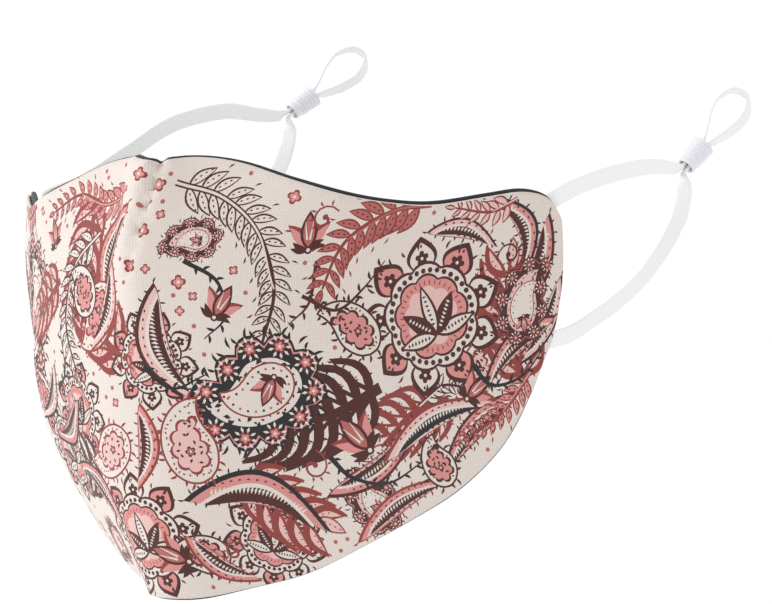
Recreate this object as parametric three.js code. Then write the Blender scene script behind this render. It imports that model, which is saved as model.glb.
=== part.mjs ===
// A reusable cloth face mask: a printed cover shaped by a nose dart, a dark lining whose edge shows
// past the cover, two flat elastic ear straps sewn to the inside of the lining, and a ribbed silicone
// adjuster on each strap. Millimetres, +Z up. The wearer faces -Y and the wearer's left is +X.
// The origin is where the inside of the nose bridge sits on the nose.
import * as THREE from "three";

// Mask body sizes
const HALF_WIDTH = 92; // centre line to ear edge, across
const DEPTH = 83; // nose bridge to ear edge, front to back
const HEIGHT = 130; // nose bridge to chin
const COVER_WALL = 1.2;
const LINING_WALL = 1.2;
const LAYER_GAP = 0.3; // clearance between any two pieces that meet
const LINING_SHOWS = 0.7; // how far the lining stands past the cover's edge

// Ear strap sizes
const STRAP_WIDTH = 5.2;
const STRAP_THICKNESS = 0.9;
const PAST_EDGE = 5; // how far a strap runs on flat before it bends away from the cloth
const STRAP_REACH = 94; // from there to the adjuster, front to back
const GATHERED_WIDTH = 2.5; // the band where the adjuster squeezes it
const GATHERED_THICKNESS = 1.25;
const PULL_LOOP_LENGTH = 23; // the spare end that stands out behind the adjuster
const PULL_LOOP_WIDTH = 10.5;
const THROAT = 2; // how far the two runs stay side by side in front of the adjuster

// Adjuster sizes
const ADJUSTER_LENGTH = 9.5;
const ADJUSTER_RADIUS = 3.9; // over the ribs at the pull loop's end
const ADJUSTER_FRONT_RADIUS = 3.3; // at the plain end that faces the mask
const ADJUSTER_COLLAR = 1.9; // length of that plain end
const ADJUSTER_RIBS = 6;
const RIB_DEPTH = 0.45;
const RIM_ROUNDING = 0.3;

// Mesh fineness
const HALF_COLUMNS = 20;
const ROWS = 18;
const STEPS_PER_STOP = 2;
const ADJUSTER_SIDES = 16;
const BAND_SIDES = 8; // corners of a band's outline

// The cloth from the centre line to the ear edge, one row for each upright rib. top is the upper
// edge and hem the lower one: across is a share of HALF_WIDTH, back of DEPTH and rise of HEIGHT.
// turn is the way the cloth faces, in degrees from straight ahead. high, middle and low say how far
// the rib stands out from a straight line between its ends, as shares of DEPTH.
const RIBS = [
  { top: { across: 0, back: 0, rise: -0.008 }, hem: { across: 0, back: 0.12, rise: -0.985 },
    turn: 0, high: 0.163, middle: 0.157, low: 0.12 },
  { top: { across: 0.11, back: 0.078, rise: 0.004 }, hem: { across: 0.088, back: 0.157, rise: -0.983 },
    turn: 6, high: 0.17, middle: 0.193, low: 0.147 },
  { top: { across: 0.242, back: 0.133, rise: -0.008 }, hem: { across: 0.198, back: 0.32, rise: -0.964 },
    turn: 16, high: 0.168, middle: 0.226, low: 0.185 },
  { top: { across: 0.396, back: 0.175, rise: -0.045 }, hem: { across: 0.33, back: 0.446, rise: -0.935 },
    turn: 27, high: 0.13, middle: 0.187, low: 0.145 },
  { top: { across: 0.55, back: 0.247, rise: -0.08 }, hem: { across: 0.478, back: 0.56, rise: -0.875 },
    turn: 38, high: 0.075, middle: 0.15, low: 0.12 },
  { top: { across: 0.66, back: 0.373, rise: -0.098 }, hem: { across: 0.615, back: 0.669, rise: -0.81 },
    turn: 48, high: 0.055, middle: 0.08, low: 0.07 },
  { top: { across: 0.747, back: 0.506, rise: -0.102 }, hem: { across: 0.725, back: 0.765, rise: -0.748 },
    turn: 57, high: 0.036, middle: 0.055, low: 0.042 },
  { top: { across: 0.857, back: 0.68, rise: -0.083 }, hem: { across: 0.835, back: 0.855, rise: -0.652 },
    turn: 60, high: 0.03, middle: 0.036, low: 0.03 },
  { top: { across: 0.928, back: 0.807, rise: -0.072 }, hem: { across: 0.91, back: 0.9, rise: -0.54 },
    turn: 62, high: 0.02, middle: 0.025, low: 0.02 },
  { top: { across: 0.973, back: 0.904, rise: -0.087 }, hem: { across: 0.948, back: 0.935, rise: -0.455 },
    turn: 80, high: 0.02, middle: 0.02, low: 0.01 },
  { top: { across: 0.995, back: 0.964, rise: -0.133 }, hem: { across: 0.962, back: 0.968, rise: -0.4 },
    turn: 100, high: 0.012, middle: 0.02, low: 0.015 },
];

// Where a strap is sewn down, as shares across and up the cloth: from its end on the lining to the
// place where it passes the edge. lift is a share of STRAP_THICKNESS, more where the cloth curls.
const UPPER_SEAM = { inside: { across: 0.83, up: 0.88 }, exit: { across: 0.93, up: 0.99 }, lift: 0.2 };
const LOWER_SEAM = { inside: { across: 0.78, up: 0.25 }, exit: { across: 0.95, up: 0 }, lift: 1.2 };

// The free runs of each strap, from the cloth to the adjuster. along is a share of the way, up is how
// far the run stands above the straight line (a share of STRAP_REACH), width a share of STRAP_WIDTH
// and face how far the band is twisted, in degrees. The straps are soft, so the two sides differ.
// adjuster gives its place from the upper exit in shares of STRAP_REACH, out being away from the
// centre line. axis is the way it points, and spread the way the pull loop opens.
const SIDES = [
  {
    name: "left",
    sign: 1,
    adjuster: { out: 0.04, back: 0.97, up: 0.142 },
    axis: [0.35, 0.62, 0.7],
    spread: [-0.62, -0.36, 0.69],
    upperRun: [
      { along: 0.19, up: 0.02, width: 1, face: 0 },
      { along: 0.4, up: 0.03, width: 1, face: 0 },
      { along: 0.62, up: 0.03, width: 1, face: 5 },
      { along: 0.78, up: 0.02, width: 0.72, face: 15 },
      { along: 0.92, up: 0, width: 0.55, face: 25 },
    ],
    lowerRun: [
      { along: 0.14, up: -0.06, width: 1, face: 0 },
      { along: 0.31, up: -0.11, width: 1, face: 0 },
      { along: 0.47, up: -0.15, width: 1, face: 5 },
      { along: 0.65, up: -0.18, width: 1, face: 10 },
      { along: 0.79, up: -0.18, width: 1, face: 20 },
      { along: 0.9, up: -0.16, width: 1, face: 35 },
      { along: 0.96, up: -0.13, width: 1, face: 55 },
      { along: 0.99, up: -0.07, width: 0.93, face: 70 },
    ],
  },
  {
    name: "right",
    sign: -1,
    adjuster: { out: -0.428, back: 1, up: 0.34 },
    axis: [0.5, 0.7, 0.62],
    spread: [-0.545, -0.315, 0.777],
    upperRun: [
      { along: 0.15, up: 0.01, width: 1, face: 0 },
      { along: 0.33, up: 0.055, width: 1, face: 0 },
      { along: 0.51, up: 0.1, width: 1, face: 0 },
      { along: 0.73, up: 0.08, width: 1, face: 5 },
      { along: 0.86, up: 0.03, width: 0.7, face: 15 },
      { along: 0.95, up: 0, width: 0.55, face: 25 },
    ],
    lowerRun: [
      { along: 0.14, up: -0.07, width: 1, face: 0 },
      { along: 0.31, up: -0.13, width: 1, face: 0 },
      { along: 0.47, up: -0.18, width: 1, face: 5 },
      { along: 0.65, up: -0.22, width: 1, face: 10 },
      { along: 0.8, up: -0.22, width: 1, face: 20 },
      { along: 0.91, up: -0.18, width: 1, face: 35 },
      { along: 0.96, up: -0.14, width: 1, face: 55 },
      { along: 0.99, up: -0.07, width: 0.93, face: 70 },
    ],
  },
];

// The pull loop, out of the adjuster and back into it: along is a share of PULL_LOOP_LENGTH, aside of
// half PULL_LOOP_WIDTH, and face the twist of the band in degrees.
const PULL_LOOP = [
  { along: 0.16, aside: 0.38, face: 0 },
  { along: 0.44, aside: 0.9, face: 5 },
  { along: 0.69, aside: 1.09, face: 10 },
  { along: 0.95, aside: 0.62, face: 20 },
  { along: 1, aside: -0.19, face: 35 },
  { along: 0.91, aside: -0.62, face: 50 },
  { along: 0.73, aside: -0.89, face: 60 },
  { along: 0.46, aside: -0.79, face: 55 },
  { along: 0.21, aside: -0.47, face: 35 },
];
const LOOP_BAND = { width: 0.64, thickness: 1.1 }; // shares of the strap's width and thickness
const BAND_CORNER = 0.6; // taken off each long edge of a band, as a share of half its thickness

// One rib of the adjuster, as shares of the ribs' spacing: where its crest starts and ends.
const RIB_CREST = { start: 0.3, end: 0.75 };

const vector = (x, y, z) => new THREE.Vector3(x, y, z);

// One point of a rib at a level from 0 at the hem to 4 at the top.
function ribPoint(rib, level) {
  const size = vector(HALF_WIDTH, DEPTH, HEIGHT);
  const top = vector(rib.top.across, rib.top.back, rib.top.rise).multiply(size);
  const hem = vector(rib.hem.across, rib.hem.back, rib.hem.rise).multiply(size);
  const fullness = [0, rib.low, rib.middle, rib.high, 0][level] * DEPTH;
  const turn = THREE.MathUtils.degToRad(rib.turn);
  const facing = vector(Math.sin(turn), -Math.cos(turn), 0);
  return hem.lerp(top, level / 4).addScaledVector(facing, fullness);
}

// Five curves that run from ear edge to ear edge, mirrored about the centre line.
const LEVELS = [0, 1, 2, 3, 4].map((level) => {
  const half = RIBS.map((rib) => ribPoint(rib, level));
  const mirrored = half.slice(1).reverse().map((point) => vector(-point.x, point.y, point.z));
  return new THREE.CatmullRomCurve3([...mirrored, ...half], false, "centripetal");
});

// The outer face of the cloth. across runs from -1 to 1 and up from 0 to 1.
function clothPoint(across, up) {
  const share = THREE.MathUtils.clamp((across + 1) / 2, 0, 1);
  const rib = new THREE.CatmullRomCurve3(LEVELS.map((level) => level.getPoint(share)), false, "centripetal");
  return rib.getPoint(THREE.MathUtils.clamp(up, 0, 1));
}

function clothNormal(across, up) {
  const step = 0.01;
  const sideways = clothPoint(Math.min(1, across + step), up).sub(clothPoint(Math.max(-1, across - step), up));
  const upward = clothPoint(across, Math.min(1, up + step)).sub(clothPoint(across, Math.max(0, up - step)));
  return sideways.cross(upward).normalize();
}

function underCloth(across, up, depth) {
  return clothPoint(across, up).addScaledVector(clothNormal(across, up), -depth);
}

function geometryOf(positions, indices) {
  const geometry = new THREE.BufferGeometry();
  geometry.setAttribute("position", new THREE.Float32BufferAttribute(positions, 3));
  geometry.setIndex(indices);
  return geometry;
}

// Millimetres for each unit of across, measured beside the ear edge.
const EAR_STEP = 0.02;
const EAR_PACE = clothPoint(1, 0.5).distanceTo(clothPoint(1 - EAR_STEP, 0.5)) / EAR_STEP;

// A closed shell between two depths under the cloth's outer face, drawn in from the edges by inset.
function layerGeometry(outerDepth, wall, inset) {
  const columns = 2 * HALF_COLUMNS;
  const positions = [];
  for (const depth of [outerDepth, outerDepth + wall]) {
    for (let i = 0; i <= columns; i += 1) {
      const across = ((2 * i) / columns - 1) * (1 - inset / EAR_PACE);
      const upInset = inset / clothPoint(across, 1).distanceTo(clothPoint(across, 0));
      for (let j = 0; j <= ROWS; j += 1) {
        const up = upInset + (1 - 2 * upInset) * (j / ROWS);
        positions.push(...underCloth(across, up, depth).toArray());
      }
    }
  }
  const at = (side, i, j) => (side * (columns + 1) + i) * (ROWS + 1) + j;
  const indices = [];
  const quad = (a, b, c, d) => indices.push(a, b, c, a, c, d);
  for (let i = 0; i < columns; i += 1) {
    for (let j = 0; j < ROWS; j += 1) {
      quad(at(0, i, j), at(0, i + 1, j), at(0, i + 1, j + 1), at(0, i, j + 1));
      quad(at(1, i, j), at(1, i, j + 1), at(1, i + 1, j + 1), at(1, i + 1, j));
    }
    quad(at(0, i, 0), at(1, i, 0), at(1, i + 1, 0), at(0, i + 1, 0));
    quad(at(0, i, ROWS), at(0, i + 1, ROWS), at(1, i + 1, ROWS), at(1, i, ROWS));
  }
  for (let j = 0; j < ROWS; j += 1) {
    quad(at(0, 0, j), at(0, 0, j + 1), at(1, 0, j + 1), at(1, 0, j));
    quad(at(0, columns, j), at(1, columns, j), at(1, columns, j + 1), at(0, columns, j + 1));
  }
  return geometryOf(positions, indices);
}

// The stops of a strap where it lies flat against the inside of the lining, and one past the edge.
function seamStops(seam, sign, direction) {
  const depth = COVER_WALL + LINING_WALL + 2 * LAYER_GAP + (0.5 + seam.lift) * STRAP_THICKNESS;
  const spots = [0, 0.5, 1].map((share) => ({
    across: sign * THREE.MathUtils.lerp(seam.inside.across, seam.exit.across, share),
    up: THREE.MathUtils.lerp(seam.inside.up, seam.exit.up, share),
  }));
  const places = spots.map((spot) => underCloth(spot.across, spot.up, depth));
  const outward = places[2].clone().sub(places[0]).normalize();
  const normals = spots.map((spot) => clothNormal(spot.across, spot.up));
  places.push(places[2].clone().addScaledVector(outward, PAST_EDGE));
  normals.push(normals[2]);
  return places.map((place, i) => ({
    place,
    wide: normals[i].clone().cross(outward).multiplyScalar(direction * sign).normalize(),
    width: STRAP_WIDTH,
    thickness: STRAP_THICKNESS,
  }));
}

// The stops of a free run, listed from the cloth to the adjuster.
function runStops(rows, start, end) {
  return rows.map((row) => ({
    place: start.clone().lerp(end, row.along).add(vector(0, 0, row.up * STRAP_REACH)),
    face: row.face,
    width: row.width * STRAP_WIDTH,
    thickness: THREE.MathUtils.lerp(GATHERED_THICKNESS, STRAP_THICKNESS, (row.width - 0.5) * 2),
  }));
}

// Gives each free stop the direction of its width: across the run in its own upright plane, twisted
// by its face angle towards the wearer's left.
function withWidths(stops, planeDirection) {
  return stops.map((stop, i) => {
    if (stop.wide) return stop;
    const travel = stops[i + 1].place.clone().sub(stops[i - 1].place).normalize();
    const twist = THREE.MathUtils.degToRad(stop.face);
    const wide = planeDirection.clone().multiplyScalar(-travel.z)
      .add(vector(0, 0, travel.dot(planeDirection)))
      .multiplyScalar(Math.cos(twist))
      .add(vector(Math.sin(twist), 0, 0));
    return { ...stop, wide };
  });
}

// A side's adjuster frame: its middle, axis, the way the two runs lie apart, and their common width.
function adjusterFrame(side) {
  const exit = seamStops(UPPER_SEAM, side.sign, 1).at(-1).place;
  const { out, back, up } = side.adjuster;
  const centre = exit.clone().add(vector(out * side.sign, back, up).multiplyScalar(STRAP_REACH));
  const axis = vector(...side.axis).normalize();
  const spread = vector(...side.spread).projectOnPlane(axis).normalize();
  return { centre, axis, spread, wide: axis.clone().cross(spread) };
}

// One strap as a list of stops: out of the upper seam, through the adjuster, round the pull loop, back
// through the adjuster and into the lower seam.
function strapStops(side) {
  const { centre, axis, spread, wide } = adjusterFrame(side);
  const beside = (GATHERED_THICKNESS + LAYER_GAP) / 2;
  const gathered = { wide, width: GATHERED_WIDTH, thickness: GATHERED_THICKNESS };
  const inAdjuster = (distance, aside) => ({
    ...gathered,
    place: centre.clone().addScaledVector(axis, distance).addScaledVector(spread, aside),
  });
  const half = ADJUSTER_LENGTH / 2;
  const through = [-half - THROAT, -half, 0, half];
  const mouth = centre.clone().addScaledVector(axis, -half);
  const upper = seamStops(UPPER_SEAM, side.sign, 1);
  const lower = seamStops(LOWER_SEAM, side.sign, -1);
  const loop = PULL_LOOP.map((row) => {
    const twist = THREE.MathUtils.degToRad(row.face);
    return {
      place: inAdjuster(half + row.along * PULL_LOOP_LENGTH, (row.aside * PULL_LOOP_WIDTH) / 2).place,
      wide: wide.clone().multiplyScalar(Math.cos(twist)).addScaledVector(spread, Math.sin(twist)),
      width: LOOP_BAND.width * STRAP_WIDTH,
      thickness: LOOP_BAND.thickness * STRAP_THICKNESS,
    };
  });
  const planeDirection = mouth.clone().sub(upper.at(-1).place).setZ(0).normalize();
  const stops = [
    ...upper,
    ...runStops(side.upperRun, upper.at(-1).place, mouth),
    ...through.map((distance) => inAdjuster(distance, beside)),
    ...loop,
    ...through.reverse().map((distance) => inAdjuster(distance, -beside)),
    ...runStops(side.lowerRun, lower.at(-1).place, mouth).reverse(),
    ...lower.reverse(),
  ];
  return withWidths(stops, planeDirection);
}

// The band's width direction and sizes at a share of the way along its stops.
function bandAt(stops, share) {
  const at = share * (stops.length - 1);
  const i = Math.min(stops.length - 2, Math.floor(at));
  const blend = THREE.MathUtils.smoothstep(at - i, 0, 1);
  return {
    wide: stops[i].wide.clone().lerp(stops[i + 1].wide, blend),
    width: THREE.MathUtils.lerp(stops[i].width, stops[i + 1].width, blend),
    thickness: THREE.MathUtils.lerp(stops[i].thickness, stops[i + 1].thickness, blend),
  };
}

// A flat band with softened corners, swept along its stops.
function bandGeometry(stops) {
  const route = new THREE.CatmullRomCurve3(stops.map((stop) => stop.place), false, "centripetal");
  const steps = (stops.length - 1) * STEPS_PER_STOP;
  const sides = BAND_SIDES;
  const positions = [];
  for (let i = 0; i <= steps; i += 1) {
    const travel = route.getTangent(i / steps);
    const band = bandAt(stops, i / steps);
    const wide = band.wide.projectOnPlane(travel).normalize();
    const thick = travel.clone().cross(wide);
    const a = band.width / 2;
    const b = band.thickness / 2;
    const corner = b * BAND_CORNER;
    const outline = [[a, b - corner], [a - corner, b], [corner - a, b], [-a, b - corner],
      [-a, corner - b], [corner - a, -b], [a - corner, -b], [a, corner - b]];
    const middle = route.getPoint(i / steps);
    for (const [u, v] of outline) {
      positions.push(...middle.clone().addScaledVector(wide, u).addScaledVector(thick, v).toArray());
    }
  }
  const indices = [];
  for (let i = 0; i < steps; i += 1) {
    for (let k = 0; k < sides; k += 1) {
      const a = i * sides + k;
      const b = i * sides + ((k + 1) % sides);
      indices.push(a, b, b + sides, a, b + sides, a + sides);
    }
  }
  for (let k = 1; k < sides - 1; k += 1) {
    indices.push(0, k + 1, k);
    indices.push(steps * sides, steps * sides + k, steps * sides + k + 1);
  }
  return geometryOf(positions, indices);
}

// A ribbed sleeve turned about its own Y axis, with the ribs towards the pull loop.
function adjusterGeometry() {
  const boreRadius = Math.hypot(GATHERED_THICKNESS + LAYER_GAP / 2, GATHERED_WIDTH / 2) + LAYER_GAP;
  const half = ADJUSTER_LENGTH / 2;
  const edge = RIM_ROUNDING;
  const profile = [
    [boreRadius + edge, -half],
    [ADJUSTER_FRONT_RADIUS - edge * 2, -half],
    [ADJUSTER_FRONT_RADIUS - RIB_DEPTH / 2, edge - half],
  ];
  const pitch = (ADJUSTER_LENGTH - ADJUSTER_COLLAR) / ADJUSTER_RIBS;
  for (let rib = 0; rib < ADJUSTER_RIBS; rib += 1) {
    const start = ADJUSTER_COLLAR - half + rib * pitch;
    const share = (rib + 1) / ADJUSTER_RIBS;
    const crest = THREE.MathUtils.lerp(ADJUSTER_FRONT_RADIUS, ADJUSTER_RADIUS, share);
    profile.push([crest - RIB_DEPTH, start]);
    profile.push([crest, start + pitch * RIB_CREST.start], [crest, start + pitch * RIB_CREST.end]);
  }
  profile.push([ADJUSTER_RADIUS - edge, half], [boreRadius + edge, half]);
  profile.push([boreRadius, half - edge], [boreRadius, edge - half], [boreRadius + edge, -half]);
  const lathe = new THREE.LatheGeometry(profile.map(([r, y]) => new THREE.Vector2(r, y)), ADJUSTER_SIDES);
  lathe.deleteAttribute("normal");
  lathe.deleteAttribute("uv");
  return lathe;
}

function namedMesh(name, geometry, finish) {
  const mesh = new THREE.Mesh(geometry, new THREE.MeshStandardMaterial(finish));
  mesh.name = name;
  return mesh;
}

const PRINTED_CLOTH = { color: "#e0c6bf", roughness: 0.85, metalness: 0 };
const LINING_CLOTH = { color: "#2a292c", roughness: 0.9, metalness: 0 };
const ELASTIC = { color: "#f1f1f0", roughness: 0.8, metalness: 0 };
const SILICONE = { color: "#f3f2f5", roughness: 0.5, metalness: 0 };

const mask = new THREE.Group();
mask.position.y = -(COVER_WALL + LAYER_GAP + LINING_WALL); // brings the inner face to the origin
mask.add(namedMesh("printed_cover", layerGeometry(0, COVER_WALL, LINING_SHOWS), PRINTED_CLOTH));
mask.add(namedMesh("lining", layerGeometry(COVER_WALL + LAYER_GAP, LINING_WALL, 0), LINING_CLOTH));
for (const side of SIDES) {
  mask.add(namedMesh(`${side.name}_ear_strap`, bandGeometry(strapStops(side)), ELASTIC));
  const { centre, axis } = adjusterFrame(side);
  const adjuster = namedMesh(`${side.name}_adjuster`, adjusterGeometry(), SILICONE);
  adjuster.position.copy(centre);
  adjuster.quaternion.setFromUnitVectors(vector(0, 1, 0), axis);
  mask.add(adjuster);
}

export default mask;
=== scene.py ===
import math
import random

import bpy
import numpy as np
from mathutils import Matrix, Vector
from mathutils.geometry import delaunay_2d_cdt


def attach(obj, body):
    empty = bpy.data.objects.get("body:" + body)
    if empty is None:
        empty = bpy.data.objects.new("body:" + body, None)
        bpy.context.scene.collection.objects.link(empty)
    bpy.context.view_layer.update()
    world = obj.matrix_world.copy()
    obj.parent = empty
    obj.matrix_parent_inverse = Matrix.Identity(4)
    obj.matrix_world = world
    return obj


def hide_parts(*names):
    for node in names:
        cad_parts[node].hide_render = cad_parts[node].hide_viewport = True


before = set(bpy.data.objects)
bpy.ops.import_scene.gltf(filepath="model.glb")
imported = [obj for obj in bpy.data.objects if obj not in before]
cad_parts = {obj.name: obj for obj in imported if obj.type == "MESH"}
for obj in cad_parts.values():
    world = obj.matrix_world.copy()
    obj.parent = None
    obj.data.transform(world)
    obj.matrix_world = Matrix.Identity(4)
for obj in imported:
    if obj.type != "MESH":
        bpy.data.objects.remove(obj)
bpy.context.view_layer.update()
MM = 0.001

# ---------------------------------------------------------------------------------------------
# Camera. A long lens 1.2 m away and level with the mask, 30 degrees round from straight ahead
# towards the wearer's left, so the cheek on that side faces the camera and the far loop shows.
VIEW_TURN = math.radians(30)
VIEW_RISE = math.radians(1)
VIEW_DISTANCE = 1.2
FRAME_PIXELS = (772, 604)
PIXELS_PER_METRE = 3420
SENSOR_WIDTH = 36
AIMED_ASIDE, AIMED_UP = 50, 2.7
looked_at = Vector((0, 32.3, -45)) * MM

level = Vector((math.sin(VIEW_TURN), -math.cos(VIEW_TURN), 0))
to_camera = level * math.cos(VIEW_RISE) + Vector((0, 0, math.sin(VIEW_RISE)))
across_view = Vector((math.cos(VIEW_TURN), math.sin(VIEW_TURN), 0))
# the middle of the picture, which lies to the right of the nose because the loops reach out there
aimed_at = looked_at + (across_view * AIMED_ASIDE + Vector((0, 0, AIMED_UP))) * MM
bpy.ops.object.camera_add(location=looked_at + to_camera * VIEW_DISTANCE)
camera = bpy.context.object
camera.name = "camera"
camera.rotation_euler = (camera.location - aimed_at).to_track_quat("Z", "Y").to_euler()
camera.data.sensor_width = SENSOR_WIDTH
camera.data.lens = SENSOR_WIDTH * PIXELS_PER_METRE * VIEW_DISTANCE / FRAME_PIXELS[0]
camera.data.clip_end = 50
bpy.context.scene.camera = camera


# ---------------------------------------------------------------------------------------------
# Studio. A pale floor well below the mask, even white light all round, and a large soft
# light on the left of the camera that makes the far cheek almost white and leaves the near one grey.
def linear(code):
    """An sRGB hex colour as linear RGBA."""
    parts = [int(code[i : i + 2], 16) / 255 for i in (1, 3, 5)]
    return [c / 12.92 if c <= 0.04045 else ((c + 0.055) / 1.055) ** 2.4 for c in parts] + [1]


def node(tree, kind, settings=None, links=None):
    """Adds a shader node with its settings and socket values, and links outputs to its sockets."""
    made = tree.nodes.new(kind)
    for name, value in (settings or {}).items():
        if name in made.inputs:
            made.inputs[name].default_value = value
        else:
            setattr(made, name, value)
    for name, output in (links or {}).items():
        tree.links.new(output, made.inputs[name])
    return made


def finish_named(name, surface):
    """A new material whose only shader is a Principled one with these fixed settings."""
    material = bpy.data.materials.new(name)
    material.use_nodes = True
    tree = material.node_tree
    shader = tree.nodes["Principled BSDF"]
    for socket, value in surface.items():
        shader.inputs[socket].default_value = value
    return material, tree, shader


def stitches(tree, across, along):
    """Where the columns and rows of a knit cross, from two waves over the cloth's millimetres."""
    place = node(tree, "ShaderNodeUVMap", {"uv_map": "cloth_mm"}).outputs["UV"]
    crossing = node(tree, "ShaderNodeMath", {"operation": "MULTIPLY"})
    for k, (way, wave) in enumerate((("X", across), ("Y", along))):
        bands = node(tree, "ShaderNodeTexWave", {"bands_direction": way, **wave}, {"Vector": place})
        tree.links.new(bands.outputs["Fac"], crossing.inputs[k])
    return crossing.outputs["Value"]


def surfaced(tree, shader, share, tones, strength, height, blend="MIX"):
    """Mixes two tones by a share and raises the surface by the same share, on the shader."""
    mixed = node(tree, "ShaderNodeMix", {"data_type": "RGBA", "blend_type": blend}, {"Factor": share})
    for socket, tone in zip("AB", tones):
        if isinstance(tone, str):
            mixed.inputs[socket].default_value = linear(tone)
        else:
            tree.links.new(tone, mixed.inputs[socket])
    bump = node(tree, "ShaderNodeBump", {"Strength": strength, "Distance": height}, {"Height": share})
    tree.links.new([o for o in mixed.outputs if o.type == "RGBA"][0], shader.inputs["Base Color"])
    tree.links.new(bump.outputs["Normal"], shader.inputs["Normal"])


FLOOR_DROP, FLOOR_RADIUS = 0.32, 12
KEY_PLACE, KEY_SIZE, KEY_WATTS = (-1.2, -0.8, 0.55), 1.0, 13
ROOM_STRENGTH = 1.04
bpy.ops.object.select_all(action="DESELECT")
bpy.ops.mesh.primitive_circle_add(
    vertices=96, radius=FLOOR_RADIUS, fill_type="NGON", location=(0, 0, -FLOOR_DROP)
)
floor = bpy.context.object
floor.name = "floor"
bpy.ops.object.transform_apply(location=True)
floor_paint, _, _ = finish_named("white_studio_floor", {"Base Color": linear("#FEFEFE"), "Roughness": 0.9})
floor.data.materials.append(floor_paint)

world = bpy.data.worlds.new("white_room")
bpy.context.scene.world = world
world.use_nodes = True
background = world.node_tree.nodes["Background"]
background.inputs["Color"].default_value = linear("#FFFFFF")
background.inputs["Strength"].default_value = ROOM_STRENGTH
bpy.context.scene.view_settings.view_transform = "Standard"

bpy.ops.object.light_add(type="AREA", location=KEY_PLACE)
light = bpy.context.object
light.name = "key_light"
light.data.shape = "DISK"
light.data.size = KEY_SIZE
light.data.energy = KEY_WATTS
light.data.color = linear("#FBFCFF")[:3]
light.rotation_euler = (Vector(KEY_PLACE) - looked_at).to_track_quat("Z", "Y").to_euler()


# ---------------------------------------------------------------------------------------------
# Ear straps. Each is one length of flat white knitted elastic, 5.2 by 0.9 mm, sewn flat to the
# inside of the lining, led through its adjuster, round a pull loop and back to the lower seam.
def through(points, shares):
    """A smooth line through the points, at shares from 0 to 1. The points may be stacked."""
    points = np.asarray(points, float)
    first = 2 * points[..., :1, :] - points[..., 1:2, :]
    last = 2 * points[..., -1:, :] - points[..., -2:-1, :]
    padded = np.concatenate([first, points, last], axis=-2)
    at = np.clip(shares, 0, 1) * (points.shape[-2] - 1)
    i = np.minimum(np.floor(at).astype(int), points.shape[-2] - 2)
    t = (at - i)[:, None]
    a, b, c, d = (padded[..., i + k, :] for k in range(4))
    spans = [np.linalg.norm(q - p, axis=-1, keepdims=True) ** 0.5 for p, q in ((a, b), (b, c), (c, d))]
    start = ((b - a) / spans[0] - (c - a) / (spans[0] + spans[1]) + (c - b) / spans[1]) * spans[1]
    end = ((c - b) / spans[1] - (d - b) / (spans[1] + spans[2]) + (d - c) / spans[2]) * spans[1]
    rise = 3 * t**2 - 2 * t**3
    return b * (1 - rise) + start * (t**3 - 2 * t**2 + t) + c * rise + end * (t**3 - t**2)


def run_along(line):
    """The distance run along a line at each of its points."""
    return np.concatenate([[0], np.cumsum(np.linalg.norm(np.diff(line, axis=0), axis=1))])


HALF_WIDTH, DEPTH, HEIGHT = 92, 83, 130
COVER_WALL, LINING_WALL, LAYER_GAP = 1.2, 1.2, 0.3
LINING_SHOWS = 1.1
# one row a rib, from the centre line to the ear edge: top and hem as across, back and rise,
# then the turn in degrees and the fullness high, in the middle and low down
RIBS = [
    ((0, 0, -0.008), (0, 0.12, -0.985), 0, 0.163, 0.157, 0.12),
    ((0.11, 0.078, 0.004), (0.088, 0.157, -0.983), 6, 0.17, 0.193, 0.147),
    ((0.242, 0.133, -0.008), (0.198, 0.32, -0.964), 16, 0.168, 0.226, 0.185),
    ((0.396, 0.175, -0.045), (0.33, 0.446, -0.935), 27, 0.13, 0.187, 0.145),
    ((0.55, 0.247, -0.08), (0.478, 0.56, -0.875), 38, 0.075, 0.15, 0.12),
    ((0.66, 0.373, -0.098), (0.615, 0.669, -0.81), 48, 0.055, 0.08, 0.07),
    ((0.747, 0.506, -0.102), (0.725, 0.765, -0.748), 57, 0.036, 0.055, 0.042),
    ((0.857, 0.68, -0.083), (0.835, 0.855, -0.652), 60, 0.03, 0.036, 0.03),
    ((0.928, 0.807, -0.072), (0.91, 0.9, -0.54), 62, 0.02, 0.025, 0.02),
    ((0.973, 0.904, -0.087), (0.948, 0.935, -0.455), 80, 0.02, 0.02, 0.01),
    ((0.995, 0.964, -0.133), (0.962, 0.968, -0.4), 100, 0.012, 0.02, 0.015),
]


def rib_points(top, hem, turn, high, middle, low):
    top, hem = np.array(top) * (HALF_WIDTH, DEPTH, HEIGHT), np.array(hem) * (HALF_WIDTH, DEPTH, HEIGHT)
    facing = np.array((math.sin(math.radians(turn)), -math.cos(math.radians(turn)), 0))
    fullness = [0, low, middle, high, 0]
    return [hem + (top - hem) * k / 4 + facing * fullness[k] * DEPTH for k in range(5)]


half = np.array([rib_points(*rib) for rib in RIBS])
LEVELS = np.concatenate([half[:0:-1] * (-1, 1, 1), half]).transpose(1, 0, 2)
NOSE_SHIFT = np.array((0, -(COVER_WALL + LAYER_GAP + LINING_WALL), 0))


def cloth_point(across, up):
    rib = through(LEVELS, np.array([(across + 1) / 2]))[:, 0]
    return through(rib, np.array([up]))[0]


def unit(v):
    return v / np.linalg.norm(v)


def cloth_normal(across, up):
    step = 0.01
    sideways = cloth_point(min(1, across + step), up) - cloth_point(max(-1, across - step), up)
    upward = cloth_point(across, min(1, up + step)) - cloth_point(across, max(0, up - step))
    return unit(np.cross(sideways, upward))


STRAP_WIDTH, STRAP_THICKNESS = 5.2, 0.9
PAST_EDGE, STRAP_REACH, THROAT = 5, 94, 2
GATHERED_WIDTH, GATHERED_THICKNESS = 2.5, 1.25
PULL_LOOP_LENGTH, PULL_LOOP_WIDTH = 23, 10.5
ADJUSTER_LENGTH = 9.5
LOOP_BAND = (0.64 * STRAP_WIDTH, 1.1 * STRAP_THICKNESS)
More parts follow.
